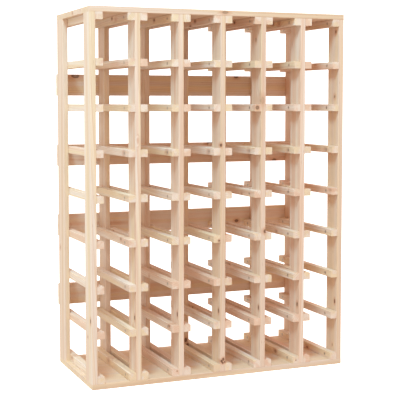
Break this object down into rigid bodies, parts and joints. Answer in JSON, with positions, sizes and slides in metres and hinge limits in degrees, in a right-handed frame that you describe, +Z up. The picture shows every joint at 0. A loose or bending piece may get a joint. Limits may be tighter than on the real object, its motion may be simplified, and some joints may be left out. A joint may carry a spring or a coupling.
{
  "type": "wine rack",
  "caption": "Free-standing open wine rack of plain pine: upright ladders of posts and rails between a top and a bottom board, with boards across the back.",
  "frame": {"origin": "middle of the footprint, on the surface that the rack stands on", "axes": "+Z up, front (where bottles go in) faces -Y, back boards at +Y, width along X"},
  "size_m": [0.61, 0.284, 0.82],
  "materials": {
    "board_pine": "planed, untreated",
    "post_pine": "planed, untreated",
    "rail_pine": "planed, untreated",
    "screw_steel": "zinc-plated, dull"
  },
  "bodies": {
    "root": {"bottom_board": "board_pine", "top_board": "board_pine", "front_post_1": "post_pine", "back_post_1": "post_pine", "rails_1_right_low": "rail_pine", "rails_1_right_middle": "rail_pine", "rails_1_right_high": "rail_pine", "front_post_2": "post_pine", "back_post_2": "post_pine", "rails_2_left_low": "rail_pine", "rails_2_right_low": "rail_pine", "rails_2_left_middle": "rail_pine", "rails_2_right_middle": "rail_pine", "rails_2_left_high": "rail_pine", "rails_2_right_high": "rail_pine", "front_post_3": "post_pine", "back_post_3": "post_pine", "rails_3_left_low": "rail_pine", "rails_3_right_low": "rail_pine", "rails_3_left_middle": "rail_pine", "rails_3_right_middle": "rail_pine", "rails_3_left_high": "rail_pine", "rails_3_right_high": "rail_pine", "front_post_4": "post_pine", "back_post_4": "post_pine", "rails_4_left_low": "rail_pine", "rails_4_right_low": "rail_pine", "rails_4_left_middle": "rail_pine", "rails_4_right_middle": "rail_pine", "rails_4_left_high": "rail_pine", "rails_4_right_high": "rail_pine", "front_post_5": "post_pine", "back_post_5": "post_pine", "rails_5_left_low": "rail_pine", "rails_5_right_low": "rail_pine", "rails_5_left_middle": "rail_pine", "rails_5_right_middle": "rail_pine", "rails_5_left_high": "rail_pine", "rails_5_right_high": "rail_pine", "front_post_6": "post_pine", "back_post_6": "post_pine", "rails_6_left_low": "rail_pine", "rails_6_right_low": "rail_pine", "rails_6_left_middle": "rail_pine", "rails_6_right_middle": "rail_pine", "rails_6_left_high": "rail_pine", "rails_6_right_high": "rail_pine", "front_post_7": "post_pine", "back_post_7": "post_pine", "rails_7_left_low": "rail_pine", "rails_7_left_middle": "rail_pine", "rails_7_left_high": "rail_pine", "back_board_1": "board_pine", "back_board_2": "board_pine", "back_board_3": "board_pine", "back_board_4": "board_pine", "rail_screws": "screw_steel", "bottom_board_screws": "screw_steel", "top_board_screws": "screw_steel", "back_board_screws": "screw_steel"}
  },
  "joints": []
}
